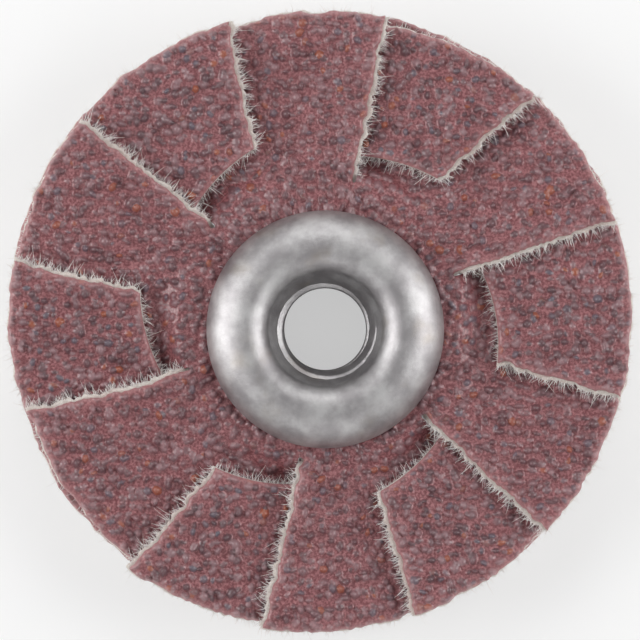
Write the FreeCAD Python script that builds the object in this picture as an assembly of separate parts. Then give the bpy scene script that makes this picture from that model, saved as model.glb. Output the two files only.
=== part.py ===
import FreeCAD, Part
import math
import os

from FreeCAD import Vector

# Overlap-slotted abrasive disc on a threaded steel eyelet, for a small hand grinder's spindle.
#
# Four plies of coated abrasive cloth are slotted into petals and woven in pairs, so that twelve
# flaps overlap all the way round like the blades of a fan. A domed eyelet and a washer clamp the
# plies at the middle, and the eyelet's thread screws on to the spindle from the rear.
#
# Millimetres. The origin is on the thread's axis, in the plane of the rear seating face, and +Z
# points out of the abrasive face. Angles run anticlockwise seen from +Z.

# ---- driving dimensions: abrasive plies ----
DISC_RADIUS = 19.05            # 1-1/2 in disc
CLOTH_THICKNESS = 0.50         # woven cotton backing
GRAIN_COAT_THICKNESS = 0.55    # one layer of 36-grit grain in resin
PLY_CLEARANCE = 0.02           # between one ply's grain and the next ply's cloth
PLY_COUNT = 4                  # woven in pairs, front ply and rear ply
PLY_CENTRE_X = -0.29           # the plies are clamped slightly off the thread's axis
PLY_CENTRE_Y = 0.65

# ---- driving dimensions: slots and petals, measured from the plies' own centre ----
# Each slot is a straight cut: (angle at the rim, turn towards the hub end), in degrees.
# Even places in the list are slots of a pair's front ply, odd places of its rear ply.
SLOTS = (
    (18.4, 0.0), (46.0, 3.0),
    (77.7, -1.0), (106.8, 4.0),
    (140.4, -1.0), (169.0, 2.0),
    (197.0, 3.0), (232.5, 2.0),
    (259.0, 2.0), (287.5, 1.0),
    (316.6, 0.0), (345.0, 1.0),
)
SLOT_WIDTH = 0.25
FLANGE_TO_SLOT = 0.3           # least air between the flange and the slots' hub ends
RAMP_RUN = 1.55                # from the flat middle to where a petal has its full tilt
FLAP_START = 0.15              # from there to the inner cut of a rear ply's flap
FLAP_SKEW = 0.9                # that cut is this much further out at the flap's free side edge
SETTLE = 0.5                   # petal's middle line below the front ply's face, in plies

# ---- driving dimensions: eyelet and washer ----
THREAD_MINOR_RADIUS = 2.55     # 1/4-20 UNC internal thread, crest radius
BARREL_WALL = 1.45             # from the thread's crest to the barrel's outside
BARREL_CLEARANCE = 0.05        # barrel to washer
PLY_HOLE_CLEARANCE = 0.15      # barrel to plies
LEAD_IN_WIDTH = 0.95           # tapered lead from the mouth's edge to the thread's crest
LEAD_IN_DEPTH = 1.9
MOUTH_WIDTH = 1.4              # rounded funnel from the dome's crest to the mouth's edge
MOUTH_DEPTH = 1.1
SKIRT_WIDTH = 2.4              # from the dome's crest to the flange's outer edge
CREST_HEIGHT = 1.9             # above the flange's underside
FLANGE_EDGE_HEIGHT = 0.3
TAIL_CHAMFER = 0.4
WASHER_WIDTH = 3.25            # from its hole to its rim
WASHER_THICKNESS = 1.3
WASHER_EDGE_RADIUS = 0.35
FLARE_DEPTH = 0.65             # the barrel's tail is swaged into the washer's countersink

# ---- derived sizes ----
PLY_THICKNESS = CLOTH_THICKNESS + GRAIN_COAT_THICKNESS
PLY_PITCH = PLY_THICKNESS + PLY_CLEARANCE
STACK_TOP = WASHER_THICKNESS + PLY_COUNT * PLY_PITCH
FLANGE_UNDERSIDE = STACK_TOP + PLY_CLEARANCE
CREST_Z = FLANGE_UNDERSIDE + CREST_HEIGHT
MOUTH_Z = CREST_Z - MOUTH_DEPTH
BARREL_RADIUS = THREAD_MINOR_RADIUS + BARREL_WALL
MOUTH_RADIUS = THREAD_MINOR_RADIUS + LEAD_IN_WIDTH
CREST_RADIUS = MOUTH_RADIUS + MOUTH_WIDTH
FLANGE_RADIUS = CREST_RADIUS + SKIRT_WIDTH
WASHER_HOLE_RADIUS = BARREL_RADIUS + BARREL_CLEARANCE
WASHER_RADIUS = WASHER_HOLE_RADIUS + WASHER_WIDTH
PLY_CENTRE = Vector(PLY_CENTRE_X, PLY_CENTRE_Y, 0)
CLAMPED_RADIUS = max(FLANGE_RADIUS, WASHER_RADIUS) + PLY_CENTRE.Length
# corners of the flat middle: its straight sides stay clear of the flange and the washer
FLAT_RING_RADIUS = (CLAMPED_RADIUS + FLANGE_TO_SLOT) / math.cos(math.pi / len(SLOTS))
RAMP_RADIUS = FLAT_RING_RADIUS + RAMP_RUN
FLAP_INNER_TRAILING = RAMP_RADIUS + FLAP_START
FLAP_INNER_LEADING = FLAP_INNER_TRAILING + FLAP_SKEW
REACH = 1.2 * DISC_RADIUS      # petals are drawn out to here, then trimmed to the rim
TALL = 2 * CREST_Z             # height of a cutter that passes through everything


def at(radius, degrees, z=0.0):
    """Point at a radius and angle about the plies' centre."""
    angle = math.radians(degrees)
    return PLY_CENTRE + Vector(radius * math.cos(angle), radius * math.sin(angle), z)


def raised(point, z):
    """The same place in plan, at height z."""
    return Vector(point.x, point.y, z)


def slot_point(index, radius):
    """Point at a radius about the plies' centre, on the straight line of one slot."""
    rim_angle, turn = SLOTS[index % len(SLOTS)]
    inner = at(FLAP_INNER_LEADING, rim_angle + turn) - PLY_CENTRE
    along = (at(DISC_RADIUS, rim_angle) - PLY_CENTRE) - inner
    along.normalize()
    nearest = inner.dot(along)
    offset = inner - along * nearest
    reach = math.sqrt(radius ** 2 - offset.Length ** 2)
    return PLY_CENTRE + offset + along * reach


def sheet_patch(corners, thickness):
    """Solid straight down from the ruled patch through four corners, given in order."""
    first, second, third, fourth = corners
    patch = Part.makeRuledSurface(Part.makeLine(first, second), Part.makeLine(fourth, third))
    return patch.extrude(Vector(0, 0, -thickness))


def prism(points):
    """Tall upright prism on a closed plan outline."""
    low = [raised(point, -TALL / 2) for point in points]
    return Part.Face(Part.makePolygon(low + low[:1])).extrude(Vector(0, 0, 2 * TALL))


def half_petal(index, ring_z, edge_z, thickness, rooted):
    """Half of a petal, from slot line index to the next one.

    edge_z is the sheet's height along those two lines once it has its full tilt. A rooted half
    rises from the flat middle; a free half is cut off square of it, at the flap's inner edge.
    """
    here, there = index, index + 1
    ramp = [raised(slot_point(here, RAMP_RADIUS), edge_z[0]),
            raised(slot_point(there, RAMP_RADIUS), edge_z[1])]
    rim = [raised(slot_point(there, REACH), edge_z[1]),
           raised(slot_point(here, REACH), edge_z[0])]
    outer = sheet_patch(ramp + rim, thickness)
    if rooted:
        root = [raised(slot_point(here, FLAT_RING_RADIUS), ring_z),
                raised(slot_point(there, FLAT_RING_RADIUS), ring_z)]
        return [sheet_patch(root + ramp[::-1], thickness), outer]
    kept = prism([slot_point(here, FLAP_INNER_LEADING), slot_point(there, FLAP_INNER_TRAILING),
                  slot_point(there, REACH), slot_point(here, REACH)])
    return [outer.common(kept)]


def slot_cutter(index):
    """Upright slab along one slot, from the flat middle out past the rim."""
    inner = slot_point(index, FLAT_RING_RADIUS)
    outer = slot_point(index, REACH)
    along = outer - inner
    along.normalize()
    side = Vector(-along.y, along.x, 0) * (SLOT_WIDTH / 2)
    return prism([inner - side, outer - side, outer + side, inner + side])


def ply_sheet(number, depth, thickness):
    """One layer of a ply: depth below the ply's face, and its own thickness.

    Plies are numbered from the abrasive face. The odd ones are the front of their pair.
    """
    front = number % 2 == 1
    ring_z = STACK_TOP - (number - 1) * PLY_PITCH
    pair_z = ring_z if front else ring_z + PLY_PITCH
    middle_z = pair_z - SETTLE * PLY_PITCH
    first_slot = 0 if front else 1
    own_slots = range(first_slot, len(SLOTS), 2)

    corners = [raised(slot_point(index, FLAT_RING_RADIUS), ring_z - depth)
               for index in range(len(SLOTS))]
    flat_middle = Part.Face(Part.makePolygon(corners + corners[:1]))
    pieces = [flat_middle.extrude(Vector(0, 0, -thickness))]
    for index in own_slots:
        leading = (middle_z + PLY_PITCH - depth, middle_z - depth)
        trailing = (middle_z - depth, middle_z - PLY_PITCH - depth)
        pieces += half_petal(index, ring_z - depth, leading, thickness, rooted=front)
        pieces += half_petal(index + 1, ring_z - depth, trailing, thickness, rooted=True)
    sheet = pieces[0].multiFuse(pieces[1:])

    outline = Part.makeCylinder(DISC_RADIUS, 2 * TALL, raised(PLY_CENTRE, -TALL / 2))
    hole = Part.makeCylinder(BARREL_RADIUS + PLY_HOLE_CLEARANCE, 2 * TALL, Vector(0, 0, -TALL / 2))
    sheet = sheet.common(outline).cut(hole)
    for index in own_slots:
        sheet = sheet.cut(slot_cutter(index))
    return sheet


def crest_arc(crest, end):
    """Arc that is level at the crest and ends at the other point, in the X-Z half plane."""
    run = end.x - crest.x
    drop = crest.z - end.z
    radius = (run ** 2 + drop ** 2) / (2 * drop)
    half_turn = math.atan2(drop, abs(run))
    outward = math.copysign(1, run)
    middle = Vector(crest.x + outward * radius * math.sin(half_turn), 0,
                    crest.z - radius * (1 - math.cos(half_turn)))
    return Part.Arc(crest, middle, end).toShape()


def turned(edges):
    """Solid of revolution about the thread's axis from a closed profile."""
    wire = Part.Wire(Part.__sortEdges__(edges))
    return Part.Face(wire).revolve(Vector(0, 0, 0), Vector(0, 0, 1), 360)


def path(*points):
    """Straight edges through a run of (radius, height) points."""
    spots = [Vector(radius, 0, z) for radius, z in points]
    return [Part.makeLine(start, end) for start, end in zip(spots, spots[1:])]


def threaded_eyelet():
    """Domed front flange and threaded barrel in one piece, its tail swaged over the washer."""
    crest = Vector(CREST_RADIUS, 0, CREST_Z)
    edge = Vector(FLANGE_RADIUS, 0, FLANGE_UNDERSIDE + FLANGE_EDGE_HEIGHT)
    mouth = Vector(MOUTH_RADIUS, 0, MOUTH_Z)
    edges = path(
        (edge.x, edge.z),
        (FLANGE_RADIUS, FLANGE_UNDERSIDE),
        (BARREL_RADIUS, FLANGE_UNDERSIDE),
        (BARREL_RADIUS, FLARE_DEPTH),
        (BARREL_RADIUS + FLARE_DEPTH, 0),
        (THREAD_MINOR_RADIUS + TAIL_CHAMFER, 0),
        (THREAD_MINOR_RADIUS, TAIL_CHAMFER),
        (THREAD_MINOR_RADIUS, MOUTH_Z - LEAD_IN_DEPTH),
        (mouth.x, mouth.z),
    )
    return turned(edges + [crest_arc(crest, mouth), crest_arc(crest, edge)])


def rear_washer():
    """Flat washer that the plies are clamped against, and that seats on the spindle's shoulder."""
    edges = path(
        (WASHER_HOLE_RADIUS, FLARE_DEPTH),
        (WASHER_HOLE_RADIUS + FLARE_DEPTH, 0),
        (WASHER_RADIUS, 0),
        (WASHER_RADIUS, WASHER_THICKNESS),
        (WASHER_HOLE_RADIUS, WASHER_THICKNESS),
        (WASHER_HOLE_RADIUS, FLARE_DEPTH),
    )
    blank = turned(edges)
    rims = [rim for rim in blank.Edges
            if isinstance(rim.Curve, Part.Circle) and abs(rim.Curve.Radius - WASHER_RADIUS) < 1e-6]
    return blank.makeFillet(WASHER_EDGE_RADIUS, rims)


def build():
    """Every piece of the disc by its node name."""
    nodes = {"threaded_eyelet": threaded_eyelet(), "rear_washer": rear_washer()}
    for number in range(1, PLY_COUNT + 1):
        nodes[f"ply_{number}_grain_coat"] = ply_sheet(number, 0.0, GRAIN_COAT_THICKNESS)
        nodes[f"ply_{number}_cloth"] = ply_sheet(number, GRAIN_COAT_THICKNESS, CLOTH_THICKNESS)
    return nodes


os.makedirs("parts", exist_ok=True)
for name, shape in build().items():
    shape.exportStep(f"parts/{name}.step")
    print(f"{name}: {len(shape.Solids)} solid(s), {shape.Volume:.2f} mm3, valid {shape.isValid()}")
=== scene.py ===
"""Looks of the overlap-slotted abrasive disc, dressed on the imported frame.

Lengths are millimetres in the classes below and become metres only when a mesh is written. Angles
run anticlockwise seen from +Z. A ply is a sheet of grain-coated cotton cloth, slotted into six
petals; two plies woven together make twelve overlapping flaps.
"""
import logging
import math
from dataclasses import dataclass, field
from enum import Enum

import bpy
import numpy as np
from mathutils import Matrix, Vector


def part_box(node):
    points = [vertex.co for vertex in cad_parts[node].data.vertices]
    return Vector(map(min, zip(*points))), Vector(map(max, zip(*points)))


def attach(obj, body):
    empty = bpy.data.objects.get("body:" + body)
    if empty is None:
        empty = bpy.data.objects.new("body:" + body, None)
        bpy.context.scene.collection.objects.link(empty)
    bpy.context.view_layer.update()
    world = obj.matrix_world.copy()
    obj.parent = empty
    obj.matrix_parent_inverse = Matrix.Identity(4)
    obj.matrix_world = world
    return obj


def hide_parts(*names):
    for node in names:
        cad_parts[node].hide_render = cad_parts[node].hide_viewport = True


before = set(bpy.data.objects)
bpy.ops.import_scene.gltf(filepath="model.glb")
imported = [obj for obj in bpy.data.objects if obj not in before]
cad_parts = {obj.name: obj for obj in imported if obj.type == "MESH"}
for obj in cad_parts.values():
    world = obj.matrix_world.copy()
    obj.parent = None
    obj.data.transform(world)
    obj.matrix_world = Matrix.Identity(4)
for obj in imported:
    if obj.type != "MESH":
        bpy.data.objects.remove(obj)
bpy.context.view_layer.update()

Array = np.ndarray
Colour = tuple[float, float, float, float]
MM = 0.001
log = logging.getLogger("abrasive_disc")


# ---------------------------------------------------------------- noise and easing


def ease(value: Array) -> Array:
    """Cubic ease from 0 to 1, flat at both ends.

    Args:
        value: where along the ease, clipped to 0..1.

    Returns:
        The eased values.
    """
    t = np.clip(value, 0.0, 1.0)
    return t * t * (3.0 - 2.0 * t)


def wander(along: Array, seed: int) -> Array:
    """Value noise along a line: random heights at whole numbers, joined by an ease.

    Args:
        along: positions, in steps of the noise.
        seed: which noise.

    Returns:
        Heights from -1 to 1.
    """
    table = np.random.default_rng(seed).uniform(-1.0, 1.0, 1024)
    base = np.floor(along).astype(int)
    t = ease(along - base)
    return table[base % 1024] * (1.0 - t) + table[(base + 1) % 1024] * t


def ripple(x: Array, y: Array, seed: int) -> Array:
    """Value noise over a plane: random heights on a square lattice, joined by an ease.

    Args:
        x: positions, in steps of the noise.
        y: positions, in steps of the noise.
        seed: which noise.

    Returns:
        Heights from -1 to 1.
    """
    table = np.random.default_rng(seed).uniform(-1.0, 1.0, (256, 256))
    i, j = np.floor(x).astype(int), np.floor(y).astype(int)
    u, v = ease(x - i), ease(y - j)
    low = table[i % 256, j % 256] * (1 - u) + table[(i + 1) % 256, j % 256] * u
    high = table[i % 256, (j + 1) % 256] * (1 - u) + table[(i + 1) % 256, (j + 1) % 256] * u
    return low * (1 - v) + high * v


def soft_max(a: Array, b: Array, blend: float) -> Array:
    """The larger of two heights, with a round fillet of the given size where they cross."""
    overlap = np.clip(blend - np.abs(a - b), 0.0, None) / blend
    return np.maximum(a, b) + overlap * overlap * blend / 4.0


# ---------------------------------------------------------------- meshes


@dataclass
class Shell:
    """A closed mesh of quads in millimetres, with named values on its vertices."""

    vertices: Array
    quads: Array
    fields: dict[str, Array] = field(default_factory=dict)

    @staticmethod
    def joined(shells: "list[Shell]") -> "Shell":
        """Several shells as one mesh, each still closed by itself.

        Args:
            shells: the shells, all with the same fields.

        Returns:
            One shell that holds them all.
        """
        starts = np.cumsum([0] + [len(shell.vertices) for shell in shells[:-1]])
        quads = [shell.quads + start for shell, start in zip(shells, starts)]
        names = shells[0].fields
        fields = {name: np.concatenate([shell.fields[name] for shell in shells]) for name in names}
        return Shell(np.concatenate([shell.vertices for shell in shells]),
                     np.concatenate(quads), fields)

    def compact(self) -> "Shell":
        """The same shell without the vertices that no face uses."""
        used, quads = np.unique(self.quads, return_inverse=True)
        fields = {name: values[used] for name, values in self.fields.items()}
        return Shell(self.vertices[used], quads.reshape(-1, 4), fields)

    def piece(self, name: str, material: bpy.types.Material, slot: str,
              nodes: tuple[str, ...]) -> bpy.types.Object:
        """Write the shell as a smooth-shaded object that rides on the disc.

        Args:
            name: the piece's name.
            material: its finish.
            slot: a material slot name, not used.
            nodes: the CAD nodes it stands for.

        Returns:
            The new object.
        """
        mesh = bpy.data.meshes.new(name)
        count = len(self.quads)
        mesh.vertices.add(len(self.vertices))
        mesh.vertices.foreach_set("co", (self.vertices * MM).astype(np.float32).ravel())
        mesh.loops.add(4 * count)
        mesh.loops.foreach_set("vertex_index", self.quads.astype(np.int32).ravel())
        mesh.polygons.add(count)
        mesh.polygons.foreach_set("loop_start", np.arange(0, 4 * count, 4, dtype=np.int32))
        mesh.polygons.foreach_set("use_smooth", np.ones(count, bool))
        for label, values in self.fields.items():
            layer = mesh.attributes.new(label, "FLOAT", "POINT")
            layer.data.foreach_set("value", values.astype(np.float32))
        mesh.update()
        mesh.validate()
        mesh.materials.append(material)
        made = bpy.data.objects.new(name, mesh)
        bpy.context.scene.collection.objects.link(made)
        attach(made, "root")
        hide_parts(*nodes)
        log.info("%s: %d vertices, %d quads", name, len(self.vertices), count)
        return made


def slab(top: Array, bottom: Array, kept: Array, fields: dict[str, Array]) -> Shell:
    """Closed sheet between two grids of points, walled wherever a kept cell meets a dropped one.

    The grids run anticlockwise along their first index and outwards along their second.

    Args:
        top: upper points, (a, b, 3).
        bottom: lower points, (a, b, 3).
        kept: which of the (a - 1, b - 1) cells belong to the sheet.
        fields: vertex values on the upper grid, (a, b), repeated on the lower one.

    Returns:
        The closed shell.
    """
    a, b = top.shape[:2]
    upper = np.arange(a * b).reshape(a, b)
    lower = upper + a * b
    near, far = (slice(None, -1), slice(1, None))
    corners = [(near, near), (near, far), (far, far), (far, near)]
    faces = [np.stack([upper[c] for c in corners], -1)[kept],
             np.stack([lower[c] for c in corners[::-1]], -1)[kept]]
    padded = np.pad(kept, 1)
    beside = {(0, 1): padded[:-2, 1:-1], (1, 2): padded[1:-1, 2:],
              (2, 3): padded[2:, 1:-1], (3, 0): padded[1:-1, :-2]}
    for (start, end), neighbour in beside.items():
        open_side = kept & ~neighbour
        ring = [upper[corners[end]], upper[corners[start]],
                lower[corners[start]], lower[corners[end]]]
        faces.append(np.stack(ring, -1)[open_side])
    vertices = np.concatenate([top.reshape(-1, 3), bottom.reshape(-1, 3)])
    doubled = {name: np.tile(values.ravel(), 2) for name, values in fields.items()}
    return Shell(vertices, np.concatenate(faces), doubled).compact()


def strands(base: Array, heading: Array, bend: Array, length: Array, thick: Array) -> Shell:
    """Thin four-sided fibres, each following base + heading * q + bend * q squared, tapering.

    Args:
        base: where each fibre starts, (n, 3).
        heading: unit direction at its start, (n, 3).
        bend: sideways drift over its whole length, as a share of the length, (n, 3).
        length: how long each is, (n,).
        thick: its radius at the start, (n,).

    Returns:
        One shell holding every fibre, closed at both ends.
    """
    stations, sides = 4, 4
    q = np.linspace(0.0, 1.0, stations)[None, :, None]
    spine = base[:, None] + (heading[:, None] * q + bend[:, None] * q ** 2) * length[:, None, None]
    across = np.cross(heading, [0.3, 0.2, 0.93])
    across /= np.linalg.norm(across, axis=1, keepdims=True)
    other = np.cross(heading, across)
    turn = np.arange(sides) * 2 * math.pi / sides
    wall = (across[:, None] * np.cos(turn)[None, :, None]
            + other[:, None] * np.sin(turn)[None, :, None])
    radius = thick[:, None] * (1.0 - 0.75 * q[0, :, 0])[None]
    points = spine[:, :, None] + wall[:, None] * radius[:, :, None, None]
    index = np.arange(stations * sides).reshape(stations, sides)
    ahead = np.roll(index, -1, axis=1)
    side = np.stack([index[:-1], ahead[:-1], ahead[1:], index[1:]], -1).reshape(-1, 4)
    one = np.concatenate([side, index[0][::-1][None], index[-1][None]])
    count = len(base)
    quads = (one[None] + (np.arange(count) * stations * sides)[:, None, None]).reshape(-1, 4)
    shade = np.random.default_rng(count).random(count)
    tone = np.repeat(shade, stations * sides)
    return Shell(points.reshape(-1, 3), quads, {"tone": tone})


# ---------------------------------------------------------------- the disc's layout


@dataclass(frozen=True)
class DiscLayout:
    """Where the plies, slots and petals lie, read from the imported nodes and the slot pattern."""

    slots: tuple[tuple[float, float], ...] = (
        (18.4, 0.0), (46.0, 3.0),
        (77.7, -1.0), (106.8, 4.0),
        (140.4, -1.0), (169.0, 2.0),
        (197.0, 3.0), (232.5, 2.0),
        (259.0, 2.0), (287.5, 1.0),
        (316.6, 0.0), (345.0, 1.0),
    )
    slot_width: float = 0.25
    ramp_run: float = 1.55
    flap_start: float = 0.15
    flap_skew: float = 0.9
    settle: float = 0.5
    hole_radius: float = 4.15
    flange_to_slot: float = 0.3

    @property
    def centre(self) -> Array:
        """The plies' own centre in plan, from a ply's box."""
        low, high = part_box("ply_1_cloth")
        return np.array([(low.x + high.x) / 2, (low.y + high.y) / 2]) / MM

    @property
    def radius(self) -> float:
        """The disc's radius, from a ply's box."""
        low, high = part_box("ply_1_cloth")
        return (high.x - low.x) / 2 / MM

    @property
    def pitch(self) -> float:
        """From one ply's face to the next one's, from two plies a pair apart."""
        return (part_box("ply_1_cloth")[1].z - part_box("ply_3_cloth")[1].z) / 2 / MM

    @property
    def stack_top(self) -> float:
        """The front ply's face at its flat middle, just under the flange."""
        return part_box("rear_washer")[1].z / MM + 4 * self.pitch

    @property
    def flange_radius(self) -> float:
        """The eyelet flange's radius, from its box."""
        low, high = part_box("threaded_eyelet")
        return (high.x - low.x) / 2 / MM

    @property
    def flat_radius(self) -> float:
        """Where the plies' flat middle ends."""
        reach = self.flange_radius + float(np.linalg.norm(self.centre)) + self.flange_to_slot
        return reach / math.cos(math.pi / len(self.slots))

    @property
    def ramp_radius(self) -> float:
        """Where the petals have their full tilt."""
        return self.flat_radius + self.ramp_run

    def slot_angle(self, index: int, radius: Array) -> Array:
        """Angle of a slot's line at each radius, in radians, never less than the slot before it.

        Args:
            index: which slot, counted on past the last one round the disc again.
            radius: radii about the plies' centre.

        Returns:
            The angles.
        """
        rounds, place = divmod(index, len(self.slots))
        rim_angle, turn = self.slots[place]
        inner = self.ramp_radius + self.flap_start + self.flap_skew
        share = (self.radius - radius) / (self.radius - inner)
        return np.radians(rim_angle + 360.0 * rounds + turn * share)

    def petal_angle(self, first: int, s: Array, radius: Array) -> Array:
        """Angle at a share s of a petal: 0 at its leading slot, 1 at its middle, 2 at its end."""
        start, middle, end = (self.slot_angle(first + step, radius) for step in range(3))
        leading = start + (middle - start) * s
        trailing = middle + (end - middle) * (s - 1.0)
        return np.where(s < 1.0, leading, trailing)


class Layer(Enum):
    """The two bonded layers of a ply."""

    GRAIN = "grain_coat"
    CLOTH = "cloth"


class Fineness(Enum):
    """How closely a sheet is sampled: (visible half, hidden half, middle, ramp, petal) steps."""

    SHOWN = (112, 44, 14, 22, 108)
    BACKING = (70, 36, 8, 14, 70)
    HIDDEN = (34, 34, 6, 8, 44)
    BACK = (60, 60, 18, 14, 84)


# ---------------------------------------------------------------- surface relief


@dataclass(frozen=True)
class GrainRelief:
    """One layer of crushed grain standing in a film of resin.

    Each square of a jittered lattice holds one grain: a rounded, five-faceted dome of its own
    size, stretch, height and lean. Heights join by a fillet, as the resin does between grains.
    """

    seed: int
    spacing: float = 0.56
    size: float = 0.33
    height: float = 0.36
    film: float = 0.05
    meniscus: float = 0.07

    def sample(self, x: Array, y: Array) -> dict[str, Array]:
        """Height above the resin's floor and what kind of surface lies at each point.

        Args:
            x: positions in millimetres.
            y: positions in millimetres.

        Returns:
            "height" in millimetres, "grain" from 0 in resin to 1 on a grain, and "tone" and
            "hue", each grain's own numbers from 0 to 1.
        """
        lattice = np.random.default_rng(self.seed).random((128, 128, 8))
        i, j = np.floor(x / self.spacing).astype(int), np.floor(y / self.spacing).astype(int)
        film = self.film * (1.0 + 0.8 * ripple(x / 0.9, y / 0.9, self.seed + 1))
        height = film.copy()
        best = np.zeros_like(x)
        tone, hue = np.full_like(x, 0.5), np.full_like(x, 0.5)
        for di in (-1, 0, 1):
            for dj in (-1, 0, 1):
                own = lattice[(i + di) % 128, (j + dj) % 128]
                px = x - (i + di + 0.5 + 0.8 * (own[..., 0] - 0.5)) * self.spacing
                py = y - (j + dj + 0.5 + 0.8 * (own[..., 1] - 0.5)) * self.spacing
                turn = own[..., 2] * 2 * math.pi
                u = px * np.cos(turn) + py * np.sin(turn)
                v = (py * np.cos(turn) - px * np.sin(turn)) * (1.0 + 0.7 * own[..., 3])
                facet = np.max([u * math.cos(k) + v * math.sin(k)
                                for k in (0.2, 1.3, 2.7, 3.8, 5.1)], axis=0)
                size = self.size * (0.72 + 0.5 * own[..., 4])
                rho = (0.5 * np.hypot(u, v) + 0.62 * facet) / size
                lean = 1.0 + 0.5 * (own[..., 5] - 0.5) * u / self.size
                dome = self.height * (0.45 + 0.75 * own[..., 5]) * lean
                lump = dome * (1.0 - np.clip(rho, 0.0, 1.0) ** 2.6)
                wins = lump > best
                tone, hue = np.where(wins, own[..., 6], tone), np.where(wins, own[..., 7], hue)
                best = np.maximum(best, lump)
                height = soft_max(height, lump, self.meniscus)
        grain = ease((best - film - 0.02) / 0.10)
        return {"height": height, "grain": grain, "tone": tone, "hue": hue}


@dataclass(frozen=True)
class TwillRelief:
    """Two-over-one twill: rounded yarns in two directions, each dipping where it is crossed."""

    spacing: float = 0.53
    depth: float = 0.07

    def sample(self, x: Array, y: Array) -> Array:
        """Height of the weave.

        A yarn's section is half a sine across its width; along its run it stays up over two
        crossings and dips under the third.

        Args:
            x: positions in millimetres.
            y: positions in millimetres.

        Returns:
            Heights from 0 to the weave's depth.
        """
        u, v = x / self.spacing, y / self.spacing
        over = (np.floor(u) + np.floor(v)) % 3 != 0
        warp = np.abs(np.sin(math.pi * u)) ** 0.6
        weft = np.abs(np.sin(math.pi * v)) ** 0.6
        return self.depth * np.where(over, warp, 0.8 * weft)


# ---------------------------------------------------------------- shader maths


class Value:
    """A socket in a node tree; numbers combine with Python's operators."""

    def __init__(self, board: "NodeBoard", socket: bpy.types.NodeSocket) -> None:
        """Wrap one output socket of the board's tree."""
        self.board = board
        self.socket = socket

    def maths(self, operation: str, first: "Value | float", second: "Value | float") -> "Value":
        """Add one Math node.

        Args:
            operation: the Math node's operation.
            first: its first number.
            second: its second number.

        Returns:
            The node's result.
        """
        return self.board.node("ShaderNodeMath", {"operation": operation}, {0: first, 1: second})

    def __add__(self, other: "Value | float") -> "Value":
        """Sum."""
        return self.maths("ADD", self, other)

    __radd__ = __add__

    def __mul__(self, other: "Value | float") -> "Value":
        """Product."""
        return self.maths("MULTIPLY", self, other)

    __rmul__ = __mul__

    def __rsub__(self, other: "Value | float") -> "Value":
        """A number less this value."""
        return self.maths("SUBTRACT", other, self)

    def band(self, low: float, high: float) -> "Value":
        """0 below low, 1 above high, eased in between."""
        return self.board.node(
            "ShaderNodeMapRange", {"interpolation_type": "SMOOTHSTEP"},
            {"Value": self, "From Min": low, "From Max": high, "To Min": 0.0, "To Max": 1.0})


class NodeBoard:
    """A material's node tree, filled one node at a time."""

    def __init__(self, name: str) -> None:
        """Start an empty material of that name."""
        self.material = bpy.data.materials.new(name)
        self.material.use_nodes = True
        self.tree = self.material.node_tree
        self.tree.nodes.clear()

    def node(self, kind: str, settings: dict | None = None, inputs: dict | None = None,
             output: int | str = 0) -> Value:
        """Add a node, set it up and feed its sockets.

        Args:
            kind: the node's type name.
            settings: its own properties.
            inputs: socket name or number to a value or a constant.
            output: which output to hand back.

        Returns:
            That output.
        """
        made = self.tree.nodes.new(kind)
        for label, setting in (settings or {}).items():
            setattr(made, label, setting)
        for place, given in (inputs or {}).items():
            if isinstance(given, Value):
                self.tree.links.new(given.socket, made.inputs[place])
            else:
                made.inputs[place].default_value = given
        return Value(self, made.outputs[output])

    def attribute(self, name: str) -> Value:
        """A named value of the mesh's vertices."""
        return self.node("ShaderNodeAttribute", {"attribute_name": name}, output="Fac")

    def position(self) -> Value:
        """The point on the piece, in metres."""
        return self.node("ShaderNodeTexCoord", output="Object")

    def noise(self, place: Value, size: float, detail: float = 3.0, rough: float = 0.5) -> Value:
        """Cloudy noise from 0 to 1 with features of about that size in millimetres."""
        return self.node("ShaderNodeTexNoise", None,
                         {"Vector": place, "Scale": 1.0 / (size * MM), "Detail": detail,
                          "Roughness": rough}, output="Fac")

    def mix(self, share: Value | float, first: Value | Colour,
            second: Value | Colour) -> Value:
        """Mix two colours."""
        return self.node("ShaderNodeMix", {"data_type": "RGBA"},
                         {0: share, 6: first, 7: second}, output=2)

    def bump(self, height: Value, distance: float) -> Value:
        """A normal roughened by a height of that many millimetres."""
        return self.node("ShaderNodeBump", None,
                         {"Height": height, "Distance": distance * MM, "Strength": 1.0})

    def finish(self, **sockets: Value | float | Colour) -> bpy.types.Material:
        """End the tree in a Principled shader.

        Args:
            sockets: its inputs, with underscores for spaces.

        Returns:
            The finished material.
        """
        inputs = {label.replace("_", " "): given for label, given in sockets.items()}
        shader = self.node("ShaderNodeBsdfPrincipled", None, inputs)
        self.node_output(shader)
        return self.material

    def node_output(self, shader: Value) -> None:
        """Link a shader to the material's output."""
        end = self.tree.nodes.new("ShaderNodeOutputMaterial")
        self.tree.links.new(shader.socket, end.inputs["Surface"])


# ---------------------------------------------------------------- finishes


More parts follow.
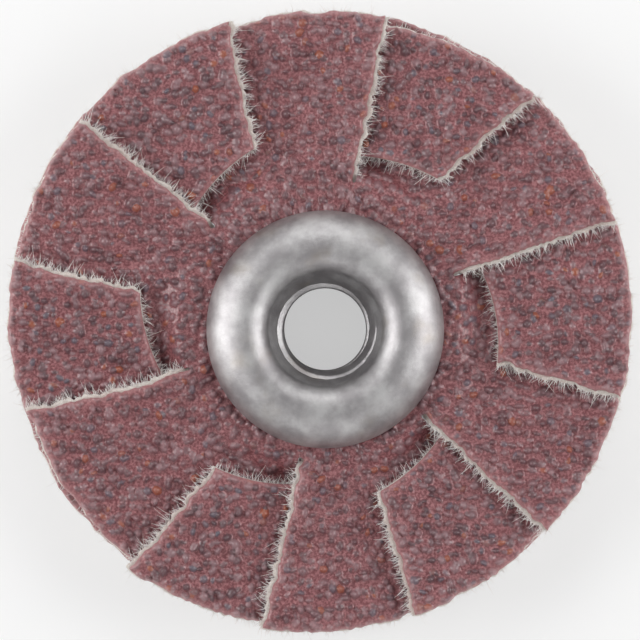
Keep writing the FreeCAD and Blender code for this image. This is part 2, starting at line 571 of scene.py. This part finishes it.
@dataclass(frozen=True)
class GrainFinish:
    """Purple-grey fused grain under a glossy red-brown size coat."""

    resin: Colour = (0.170, 0.042, 0.050, 1.0)
    resin_pale: Colour = (0.44, 0.19, 0.20, 1.0)
    dark_grain: Colour = (0.085, 0.048, 0.058, 1.0)
    pale_grain: Colour = (0.290, 0.175, 0.190, 1.0)
    amber_grain: Colour = (0.33, 0.085, 0.035, 1.0)
    slate_grain: Colour = (0.105, 0.105, 0.135, 1.0)

    def material(self, name: str, warmth: float) -> bpy.types.Material:
        """Build the finish.

        Args:
            name: the material's name.
            warmth: how red the size coat looks, 0 to 1.

        Returns:
            The material.
        """
        board = NodeBoard(name)
        place = board.position()
        grain, tone = board.attribute("grain"), board.attribute("tone")
        hue, edge = board.attribute("hue"), board.attribute("edge")
        clouds = board.noise(place, 2.2, 2.0)
        specks = board.noise(place, 0.16, 4.0, 0.6)
        body = board.mix(tone.band(0.1, 0.95), self.dark_grain, self.pale_grain)
        body = board.mix(hue.band(0.93, 0.96), body, self.amber_grain)
        body = board.mix(1.0 - hue.band(0.06, 0.10), body, self.slate_grain)
        film = board.mix(specks.band(0.35, 0.75), self.resin, self.resin_pale)
        cover = grain * (0.86 - 0.25 * warmth) * (0.75 + 0.5 * clouds)
        colour = board.mix(cover, film, body)
        colour = board.mix(edge * 0.55, colour, (0.62, 0.33, 0.33, 1.0))
        relief = specks * 0.6 + board.noise(place, 0.07, 2.0) * 0.4
        return board.finish(Base_Color=colour, Roughness=0.30 + 0.18 * specks,
                            Coat_Weight=0.65, Coat_Roughness=0.12, Specular_IOR_Level=0.5,
                            Normal=board.bump(relief, 0.05))


@dataclass(frozen=True)
class ClothFinish:
    """Undyed cotton, its yarns a little uneven in colour."""

    white: Colour = (0.86, 0.83, 0.79, 1.0)
    shade: Colour = (0.62, 0.55, 0.48, 1.0)
    stain: Colour = (0.66, 0.42, 0.38, 1.0)

    def material(self, name: str, stained: float) -> bpy.types.Material:
        """Build the finish.

        Args:
            name: the material's name.
            stained: how much resin has soaked through, 0 to 1.

        Returns:
            The material.
        """
        board = NodeBoard(name)
        place = board.position()
        fuzz = board.noise(place, 0.09, 4.0, 0.7)
        clouds = board.noise(place, 3.0, 3.0)
        colour = board.mix(fuzz.band(0.25, 0.7), self.shade, self.white)
        colour = board.mix(clouds.band(0.35, 0.8) * stained, colour, self.stain)
        return board.finish(Base_Color=colour, Roughness=0.92, Sheen_Weight=0.3,
                            Normal=board.bump(fuzz, 0.06))


@dataclass(frozen=True)
class FibreFinish:
    """Loose cotton fibres, near white."""

    white: Colour = (0.93, 0.92, 0.90, 1.0)
    shade: Colour = (0.80, 0.74, 0.71, 1.0)

    def material(self, name: str) -> bpy.types.Material:
        """Build the finish."""
        board = NodeBoard(name)
        colour = board.mix(board.attribute("tone"), self.shade, self.white)
        return board.finish(Base_Color=colour, Roughness=0.85, Sheen_Weight=0.2)


@dataclass(frozen=True)
class SteelFinish:
    """Tumbled satin steel with faint brown stains."""

    bright: Colour = (0.66, 0.65, 0.65, 1.0)
    dull: Colour = (0.42, 0.40, 0.41, 1.0)
    stain: Colour = (0.40, 0.33, 0.24, 1.0)

    def material(self, name: str) -> bpy.types.Material:
        """Build the finish."""
        board = NodeBoard(name)
        place = board.position()
        clouds = board.noise(place, 1.6, 5.0, 0.6)
        pits = board.noise(place, 0.12, 5.0, 0.7)
        colour = board.mix(clouds.band(0.3, 0.72), self.dull, self.bright)
        colour = board.mix(board.noise(place, 2.6, 4.0).band(0.55, 0.8) * 0.45, colour, self.stain)
        return board.finish(Base_Color=colour, Metallic=1.0,
                            Roughness=0.36 + 0.16 * pits + 0.08 * clouds,
                            Normal=board.bump(pits, 0.02))


# ---------------------------------------------------------------- plies


class Side(Enum):
    """The free edges of a flap."""

    LEADING = "leading"
    INNER = "inner"
    RIM = "rim"


@dataclass(frozen=True)
class Trim:
    """How one flap was cut: changes from the plain pattern, in millimetres."""

    rim_start: float = 0.0
    rim_end: float = 0.0
    lift: float = 0.12
    fray: float = 1.0


@dataclass
class Ply:
    """One ply of the disc: six petals of grain-coated cloth.

    A petal tilts like a fan blade: its leading edge is one ply's thickness above its middle line,
    which is as far above its trailing edge. Odd plies are the front of their pair and keep their
    middle whole; even plies have each petal's leading half cut free of the middle, because it
    comes up through the front ply's slot.
    """

    number: int
    layout: DiscLayout
    trims: dict[int, Trim]
    grain_thickness: float = 0.55
    cloth_thickness: float = 0.50
    film_level: float = 0.30
    cut_wander: float = 0.11

    @property
    def front(self) -> bool:
        """Whether this is the front ply of its pair."""
        return self.number % 2 == 1

    @property
    def first_slots(self) -> range:
        """The leading slots of this ply's petals."""
        return range(0 if self.front else 1, len(self.layout.slots), 2)

    @property
    def ring_z(self) -> float:
        """Height of the ply's face at its flat middle."""
        return self.layout.stack_top - (self.number - 1) * self.layout.pitch

    @property
    def middle_z(self) -> float:
        """Height of the ply's face along its petals' middle lines."""
        pair_top = self.ring_z if self.front else self.ring_z + self.layout.pitch
        return pair_top - self.layout.settle * self.layout.pitch

    def trim(self, first: int) -> Trim:
        """How the flap that starts at a slot was cut."""
        return self.trims.get(first % len(self.layout.slots), Trim())

    def cut_edge(self, first: int, s: Array) -> Array:
        """Radius of the inner cut across a petal: skewed on its free half, level on the other."""
        lay = self.layout
        return lay.ramp_radius + lay.flap_start + lay.flap_skew * np.clip(1.0 - s, 0.0, 1.0)

    def rim(self, first: int, s: Array, layer: Layer) -> Array:
        """Radius of the rim across a petal, worn and cut a little out of round."""
        trim = self.trim(first)
        seed = 40 * self.number + first
        share = np.clip(s, 0.0, 1.0)
        cut = trim.rim_start * (1.0 - share) + trim.rim_end * share
        ragged = 0.10 * wander(s * 9.0, seed) + 0.06 * wander(s * 31.0, seed + 1)
        proud = 0.0 if layer is Layer.GRAIN else 0.05 + 0.06 * wander(s * 19.0, seed + 2)
        return self.layout.radius + cut + ragged + proud - 0.05

    def retreat(self, first: int, radius: Array, layer: Layer) -> Array:
        """How far a petal's leading edge stands back from its slot's line; cloth juts past it."""
        seed = 70 * self.number + first
        jag = self.cut_wander * wander(radius / 0.62, seed) + 0.05 * wander(radius / 0.21, seed + 1)
        back = 0.13 + jag
        if layer is Layer.CLOTH:
            teeth = 0.10 * np.abs(np.sin(math.pi * radius / 0.53 + first))
            back = back - (0.16 + teeth + 0.08 * wander(radius / 0.37, seed + 2))
        return np.where(radius > self.layout.flat_radius, back, 0.0)

    def surface(self, first: int, s: Array, radius: Array) -> tuple[Array, Array, Array]:
        """Place of the ply's face: plan position and height.

        Args:
            first: the petal's leading slot.
            s: share across the petal, 0 at its leading slot to 2 at its trailing one.
            radius: radius about the plies' centre.

        Returns:
            x, y and z in millimetres.
        """
        lay = self.layout
        angle = lay.petal_angle(first, s, radius)
        tilt = self.middle_z + lay.pitch * (1.0 - s)
        if self.front:
            climb = ease((radius - lay.flat_radius) / lay.ramp_run)
        else:
            climb = np.where(s < 1.0, 1.0, ease((radius - lay.flat_radius) / lay.ramp_run))
            climb = np.where(radius < lay.flat_radius + 1e-6, 0.0, climb)
        z = self.ring_z + (tilt - self.ring_z) * climb
        x = lay.centre[0] + radius * np.cos(angle)
        y = lay.centre[1] + radius * np.sin(angle)
        outward = np.clip((radius - lay.ramp_radius) / (lay.radius - lay.ramp_radius), 0.0, 1.2)
        if self.number <= 2:
            z = z + self.trim(first).lift * outward * np.clip(1.0 - s, 0.0, 1.0) ** 1.5
        sag = 0.10 * ripple(x / 5.0, y / 5.0, 11) * outward
        return x, y, z + sag

    def grid(self, first: int, fineness: Fineness, layer: Layer) -> dict[str, Array]:
        """Sample points of one petal, with its distance from the free edges.

        Args:
            first: the petal's leading slot.
            fineness: how closely it is sampled.
            layer: which layer's outline to follow.

        Returns:
            "s", "radius", "x", "y", "z" and "edge" (millimetres to the nearest free edge).
        """
        lay = self.layout
        shown, hidden, middle, ramp, outer = fineness.value
        near = np.array([0.0, 0.004, 0.010, 0.018])
        s = np.concatenate([near, np.linspace(0.028, 1.0, shown),
                            np.linspace(1.0, 2.0, hidden + 1)[1:]])[:, None]
        hole = lay.hole_radius + np.linalg.norm(lay.centre)
        cut = self.cut_edge(first, s)
        rim = self.rim(first, s, layer)
        inner = np.concatenate([np.linspace(0.0, 0.45, 3), np.linspace(0.55, 1.0, middle)])[None]
        rise = np.linspace(0.0, 1.0, ramp + 1)[None, 1:]
        run = np.concatenate([near, np.linspace(0.028, 0.972, outer), 1.0 - near[::-1]])[None, 1:]
        radius = np.concatenate([hole + (lay.flat_radius - hole) * inner + 0.0 * s,
                                 lay.flat_radius + (cut - lay.flat_radius) * rise,
                                 cut + (rim - cut) * run], axis=1)
        s = s + 0.0 * radius
        angle_span = lay.slot_angle(first + 1, radius) - lay.slot_angle(first, radius)
        width = radius * angle_span
        back = self.retreat(first, radius, layer)
        start = back / width
        end_gap = np.where(radius > lay.flat_radius, 0.5 * lay.slot_width, 0.0) / width
        seated = np.where(s < 1.0, start + (1.0 - start) * s, s - end_gap * (s - 1.0))
        x, y, z = self.surface(first, seated, radius)
        free = s * width
        free = np.where(radius > lay.flat_radius, free, 9.0)
        edge = np.minimum(free, rim - radius)
        if not self.front:
            edge = np.minimum(edge, np.where(s < 1.0, np.abs(radius - cut), 9.0))
        return {"s": s, "radius": radius, "x": x, "y": y, "z": z, "edge": edge}

    def kept(self, grid: dict[str, Array]) -> Array:
        """Which cells of a petal's grid hold cloth: all but a rear ply's window."""
        s, radius = grid["s"], grid["radius"]
        cells = np.ones((s.shape[0] - 1, s.shape[1] - 1), bool)
        if self.front:
            return cells
        middle = (radius[1:, 1:] + radius[:-1, :-1]) / 2
        share = (s[1:, 1:] + s[:-1, :-1]) / 2
        cut = self.cut_edge(0, share)
        return ~((share < 1.0) & (middle > self.layout.flat_radius) & (middle < cut))

    def grain_petal(self, first: int, fineness: Fineness) -> Shell:
        """One petal's grain coat, its face standing in lumps above the resin film."""
        grid = self.grid(first, fineness, Layer.GRAIN)
        relief = GrainRelief(seed=100 * self.number)
        found = relief.sample(grid["x"], grid["y"])
        inset = np.clip(grid["edge"] / 0.22, 0.0, 1.0)
        drop = 0.17 * (1.0 - inset) ** 2
        fields = {"grain": found["grain"] * (0.35 + 0.65 * inset), "tone": found["tone"],
                  "hue": found["hue"], "edge": np.exp(-grid["edge"] / 0.20)}
        face = grid["z"] - self.film_level + found["height"] * (0.55 + 0.45 * inset) - drop
        under = grid["z"] - self.grain_thickness
        return self.sheet(grid, face, under, fields)

    def cloth_petal(self, first: int, fineness: Fineness) -> Shell:
        """One petal's cloth, standing a little proud of the grain at its cut edges."""
        grid = self.grid(first, fineness, Layer.CLOTH)
        weave = TwillRelief().sample(grid["x"], grid["y"])
        rounding = np.clip(grid["edge"] / 0.15, 0.0, 1.0)
        face = grid["z"] - self.grain_thickness - 0.01 - 0.12 * (1.0 - rounding) ** 2
        under = grid["z"] - self.grain_thickness - self.cloth_thickness + 0.08 - weave
        under = under + 0.12 * (1.0 - rounding) ** 2
        return self.sheet(grid, face, under, {"edge": np.exp(-grid["edge"] / 0.3)})

    def sheet(self, grid: dict[str, Array], face: Array, under: Array,
              fields: dict[str, Array]) -> Shell:
        """Close a petal between its face and its underside."""
        top = np.stack([grid["x"], grid["y"], face], -1)
        bottom = np.stack([grid["x"], grid["y"], under], -1)
        return slab(top, bottom, self.kept(grid), fields)

    def frayed_edges(self, density: float) -> Shell:
        """Cotton fibres along the free edges of every flap of the ply.

        Args:
            density: fibres per millimetre of edge.

        Returns:
            All the fibres as one shell.
        """
        rng = np.random.default_rng(500 + self.number)
        groups = []
        for first in self.first_slots:
            for side in Side:
                groups.append(self.edge_fibres(first, side, density * self.trim(first).fray, rng))
        base, heading, bend, length, thick = (np.concatenate(part) for part in zip(*groups))
        return strands(base, heading, bend, length, thick)

    def edge_fibres(self, first: int, side: Side, density: float,
                    rng: np.random.Generator) -> tuple[Array, Array, Array, Array, Array]:
        """Fibres of one free edge: where they start, how they head, bend, length and radius."""
        lay = self.layout
        if side is Side.INNER and self.front:
            return (np.zeros((0, 3)), np.zeros((0, 3)), np.zeros((0, 3)), np.zeros(0), np.zeros(0))
        begin = lay.flat_radius if self.front else float(self.cut_edge(first, np.zeros(1))[0])
        spans = {Side.LEADING: lay.radius - begin, Side.INNER: 5.0, Side.RIM: 9.5}
        shares = {Side.LEADING: 1.0, Side.INNER: 1.0, Side.RIM: 0.35}
        count = int(spans[side] * density * shares[side])
        t = rng.random(count)
        if side is Side.LEADING:
            radius = begin + (lay.radius - begin) * t
            width = radius * (lay.slot_angle(first + 1, radius) - lay.slot_angle(first, radius))
            s = self.retreat(first, radius, Layer.CLOTH) / width
        elif side is Side.INNER:
            s = t
            radius = self.cut_edge(first, s)
        else:
            s = t
            radius = self.rim(first, s, Layer.CLOTH)
        x, y, z = self.surface(first, s, radius)
        angle = lay.petal_angle(first, s, radius)
        out = np.stack([np.cos(angle), np.sin(angle), 0 * angle], -1)
        along = np.stack([-np.sin(angle), np.cos(angle), 0 * angle], -1)
        away = {Side.LEADING: -along, Side.INNER: -out, Side.RIM: out}[side]
        across = {Side.LEADING: out, Side.INNER: along, Side.RIM: along}[side]
        splay = rng.normal(0.0, 0.45, (count, 1))
        rise = rng.normal(0.05, 0.30, (count, 1))
        heading = away + across * splay + np.array([0.0, 0.0, 1.0]) * rise
        heading /= np.linalg.norm(heading, axis=1, keepdims=True)
        depth = self.grain_thickness + rng.uniform(-0.12, 0.42, count)
        base = np.stack([x, y, z - depth], -1) - away * 0.06
        bend = rng.normal(0.0, 0.22, (count, 3))
        length = rng.gamma(3.0, 0.105, count) * (0.7 if side is Side.RIM else 1.0) + 0.08
        thick = rng.uniform(0.012, 0.024, count)
        return base, heading, bend, length, thick


@dataclass
class PlyStack:
    """The four plies, the front two in full detail."""

    layout: DiscLayout = field(default_factory=DiscLayout)
    fibre_density: float = 26.0
    trims: dict[int, Trim] = field(default_factory=lambda: {
        0: Trim(0.0, 0.05, 0.10), 1: Trim(-0.05, -0.42, 0.30), 2: Trim(-0.05, -0.25, 0.12),
        3: Trim(0.10, 0.25, 0.22), 4: Trim(0.15, 0.05, 0.10), 5: Trim(0.20, 0.10, 0.20),
        6: Trim(-0.20, -0.20, 0.12), 7: Trim(0.35, 0.05, 0.30), 8: Trim(0.35, 0.0, 0.10),
        9: Trim(0.10, -0.10, 0.30), 10: Trim(-0.05, 0.15, 0.12), 11: Trim(0.05, 0.15, 0.30),
    })

    def build(self) -> None:
        """Make every ply's grain coat and cloth, and frayed edges for the front two plies."""
        grain = GrainFinish()
        front_grain = grain.material("grain_coat_front_ply", 0.75)
        rear_grain = grain.material("grain_coat_rear_ply", 0.25)
        cloth = ClothFinish().material("cotton_cloth_cut_edge", 0.35)
        back = ClothFinish().material("cotton_cloth_back", 0.15)
        fibre = FibreFinish().material("loose_cotton_fibre")
        for number in range(1, 5):
            ply = Ply(number, self.layout, self.trims)
            coat = front_grain if ply.front else rear_grain
            node = f"ply_{number}_grain_coat"
            if number <= 2:
                for place, first in enumerate(ply.first_slots, 1):
                    shell = ply.grain_petal(first, Fineness.SHOWN)
                    shell.piece(f"ply_{number}_grain_petal_{place}", coat, "grain_coat", (node,))
                edges = ply.frayed_edges(self.fibre_density)
                edges.piece(f"ply_{number}_frayed_fibres", fibre, "cotton_cloth",
                            (f"ply_{number}_cloth",))
            else:
                petals = [ply.grain_petal(first, Fineness.HIDDEN) for first in ply.first_slots]
                Shell.joined(petals).piece(f"ply_{number}_grain", coat, "grain_coat", (node,))
            fineness = Fineness.BACK if number == 4 else (
                Fineness.BACKING if number <= 2 else Fineness.HIDDEN)
            petals = [ply.cloth_petal(first, fineness) for first in ply.first_slots]
            Shell.joined(petals).piece(f"ply_{number}_cloth_backing", back if number == 4 else cloth,
                                       "cotton_cloth", (f"ply_{number}_cloth",))


# ---------------------------------------------------------------- eyelet and washer


@dataclass
class Eyelet:
    """Domed flange and threaded barrel, turned about the thread's axis."""

    minor: float = 2.55
    major: float = 3.175
    thread_pitch: float = 1.27
    lead_in_width: float = 0.95
    lead_in_depth: float = 1.9
    mouth_width: float = 1.4
    mouth_depth: float = 1.1
    skirt_width: float = 2.4
    edge_height: float = 0.3
    barrel_radius: float = 4.0
    flare: float = 0.65
    tail_chamfer: float = 0.4
    steps_round: int = 300

    def profile(self) -> tuple[Array, Array, Array]:
        """The turned outline, anticlockwise in the (radius, height) half plane.

        Returns:
            Radii, heights, and 1 where the thread is cut, else 0.
        """
        low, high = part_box("threaded_eyelet")
        top = high.z / MM
        flange = (high.x - low.x) / 2 / MM
        crest = flange - self.skirt_width
        mouth = crest - self.mouth_width
        underside = DiscLayout().stack_top + 0.02
        skirt = self.arc(crest, top, flange, underside + self.edge_height, 34)
        funnel = self.arc(crest, top, mouth, top - self.mouth_depth, 26)
        seat = self.run(self.barrel_radius, underside, flange - 0.06, underside, 8)
        lip = self.run(flange, underside + 0.06, *skirt[-1], 4)
        throat_z = top - self.mouth_depth - self.lead_in_depth
        lead = self.run(mouth, top - self.mouth_depth, self.minor, throat_z, 40)
        bore = self.run(self.minor, throat_z, self.minor, self.tail_chamfer, 84)
        tail = self.run(self.minor, self.tail_chamfer, self.minor + self.tail_chamfer, 0.0, 8)
        foot = self.run(self.minor + self.tail_chamfer, 0.0, self.barrel_radius + self.flare, 0.0, 8)
        flare = self.run(self.barrel_radius + self.flare, 0.0, self.barrel_radius, self.flare, 6)
        barrel = self.run(self.barrel_radius, self.flare, self.barrel_radius, underside, 10)
        parts = [seat, lip[:-1], skirt[::-1], funnel[1:], lead[1:], bore[1:], tail[1:], foot[1:],
                 flare[1:], barrel[1:-1]]
        cut = [np.zeros(len(part)) for part in parts]
        cut[4][:] = 1.0
        cut[5][:] = 1.0
        cut[6][:] = 1.0
        points = np.concatenate(parts)
        return points[:, 0], points[:, 1], np.concatenate(cut)

    @staticmethod
    def run(r0: float, z0: float, r1: float, z1: float, count: int) -> Array:
        """Evenly spaced points on a straight stretch of the outline."""
        t = np.linspace(0.0, 1.0, count)[:, None]
        return np.array([r0, z0]) * (1 - t) + np.array([r1, z1]) * t

    @staticmethod
    def arc(r0: float, z0: float, r1: float, z1: float, count: int) -> Array:
        """Points on the arc that is level at the first point and ends at the second."""
        run, fall = abs(r1 - r0), z0 - z1
        radius = (run ** 2 + fall ** 2) / (2 * fall)
        turn = np.linspace(0.0, 2 * math.atan2(fall, run), count)
        side = math.copysign(1.0, r1 - r0)
        return np.stack([r0 + side * radius * np.sin(turn), z0 - radius * (1 - np.cos(turn))], -1)

    def build(self) -> None:
        """Make the eyelet as one closed turned mesh with a helical thread groove."""
        r, z, cut = self.profile()
        phi = np.arange(self.steps_round) * 2 * math.pi / self.steps_round
        radius, height = r[:, None] + 0 * phi[None], z[:, None] + 0 * phi[None]
        phase = (height / self.thread_pitch - phi[None] / (2 * math.pi)) % 1.0
        off_root = np.abs(phase - 0.5) * self.thread_pitch - self.thread_pitch / 16
        groove = self.major - np.clip(off_root, 0.0, None) / math.tan(math.radians(30))
        worn = 0.03 * ripple(phi[None] * 9.0, height / 0.4, 5)
        radius = np.where(cut[:, None] > 0, np.maximum(radius, groove + worn), radius)
        dent = 0.012 * ripple(radius * np.cos(phi[None]) / 0.7, radius * np.sin(phi[None]) / 0.7, 3)
        height = height + dent * (cut[:, None] == 0) * (height > DiscLayout().stack_top + 0.3)
        x, y = radius * np.cos(phi[None]), radius * np.sin(phi[None])
        vertices = np.stack([x, y, height], -1).reshape(-1, 3)
        index = np.arange(len(r) * self.steps_round).reshape(len(r), self.steps_round)
        ahead, beside = np.roll(index, -1, axis=0), np.roll(index, -1, axis=1)
        both = np.roll(ahead, -1, axis=1)
        quads = np.stack([index, beside, both, ahead], -1).reshape(-1, 4)
        shell = Shell(vertices, quads, {})
        shell.piece("eyelet_with_thread", SteelFinish().material("satin_steel_eyelet"),
                    "eyelet_steel", ("threaded_eyelet",))


class Washer:
    """The rear washer: the CAD node itself, given a finish."""

    def build(self) -> None:
        """Dress the washer."""
        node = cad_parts["rear_washer"]
        node.data.materials.clear()
        node.data.materials.append(SteelFinish().material("satin_steel_washer"))
        log.info("rear_washer: dressed")


# ---------------------------------------------------------------- studio


@dataclass
class Studio:
    """White table, soft lamps and a camera looking straight down on the disc."""

    camera_height: float = 300.0
    view_width: float = 39.33
    view_centre: tuple[float, float] = (-0.32, 0.57)
    sensor: float = 36.0

    def build(self) -> None:
        """Set up the floor, the lamps, the world and the camera."""
        scene = bpy.context.scene
        scene.view_settings.view_transform = "Standard"
        self.floor()
        self.lamp("left_softbox", (-190, 10, 120), 150, 0.29)
        self.lamp("right_softbox", (190, 20, 120), 150, 0.26)
        self.lamp("far_softbox", (0, 200, 140), 130, 0.13)
        self.lamp("near_softbox", (0, -200, 140), 130, 0.07)
        self.world()
        scene.camera = self.camera()

    def floor(self) -> None:
        """A wide white table under the disc."""
        mesh = bpy.data.meshes.new("table")
        reach = 3.0
        mesh.from_pydata([(-reach, -reach, 0), (reach, -reach, 0), (reach, reach, 0),
                          (-reach, reach, 0)], [], [(0, 1, 2, 3)])
        table = bpy.data.objects.new("table", mesh)
        bpy.context.scene.collection.objects.link(table)
        board = NodeBoard("white_table")
        seen = board.node("ShaderNodeLightPath", output="Is Camera Ray")
        paper = board.node("ShaderNodeBsdfDiffuse", None, {"Color": (0.93, 0.93, 0.93, 1.0)})
        glow = board.node("ShaderNodeEmission", None, {"Color": (1.0, 1.0, 1.0, 1.0)})
        mixed = board.node("ShaderNodeMixShader", None, {0: seen * 0.5, 1: paper, 2: glow})
        board.node_output(mixed)
        mesh.materials.append(board.material)

    def lamp(self, name: str, place: tuple[float, float, float], size: float,
             power: float) -> None:
        """A square soft lamp that faces the disc.

        Args:
            name: the lamp's name.
            place: its centre in millimetres.
            size: its side in millimetres.
            power: watts.
        """
        data = bpy.data.lights.new(name, "AREA")
        data.size = size * MM
        data.energy = power
        made = bpy.data.objects.new(name, data)
        made.location = [value * MM for value in place]
        made.rotation_mode = "QUATERNION"
        made.rotation_quaternion = made.location.to_track_quat("Z", "Y")
        bpy.context.scene.collection.objects.link(made)

    def world(self) -> None:
        """Even grey fill that the camera sees as white."""
        world = bpy.data.worlds.new("studio_world")
        world.use_nodes = True
        bpy.context.scene.world = world
        tree = world.node_tree
        back = tree.nodes["Background"]
        path = tree.nodes.new("ShaderNodeLightPath")
        shade = tree.nodes.new("ShaderNodeMapRange")
        shade.inputs["To Min"].default_value = 0.30
        shade.inputs["To Max"].default_value = 1.0
        tree.links.new(path.outputs["Is Camera Ray"], shade.inputs["Value"])
        tree.links.new(shade.outputs["Result"], back.inputs["Strength"])
        back.inputs["Color"].default_value = (1.0, 1.0, 1.0, 1.0)

    def camera(self) -> bpy.types.Object:
        """The camera, straight above the disc with +Y up the picture."""
        data = bpy.data.cameras.new("camera")
        data.sensor_width = self.sensor
        face = DiscLayout().stack_top
        data.lens = self.sensor * (self.camera_height - face) / self.view_width
        data.clip_start, data.clip_end = 0.01, 10.0
        made = bpy.data.objects.new("camera", data)
        made.location = (self.view_centre[0] * MM, self.view_centre[1] * MM,
                         self.camera_height * MM)
        bpy.context.scene.collection.objects.link(made)
        return made


def main() -> None:
    """Build the disc piece by piece, then the studio."""
    logging.basicConfig(level=logging.INFO, format="%(message)s")
    for part in (PlyStack(), Eyelet(), Washer(), Studio()):
        part.build()


if __name__ == "__main__":
    main()
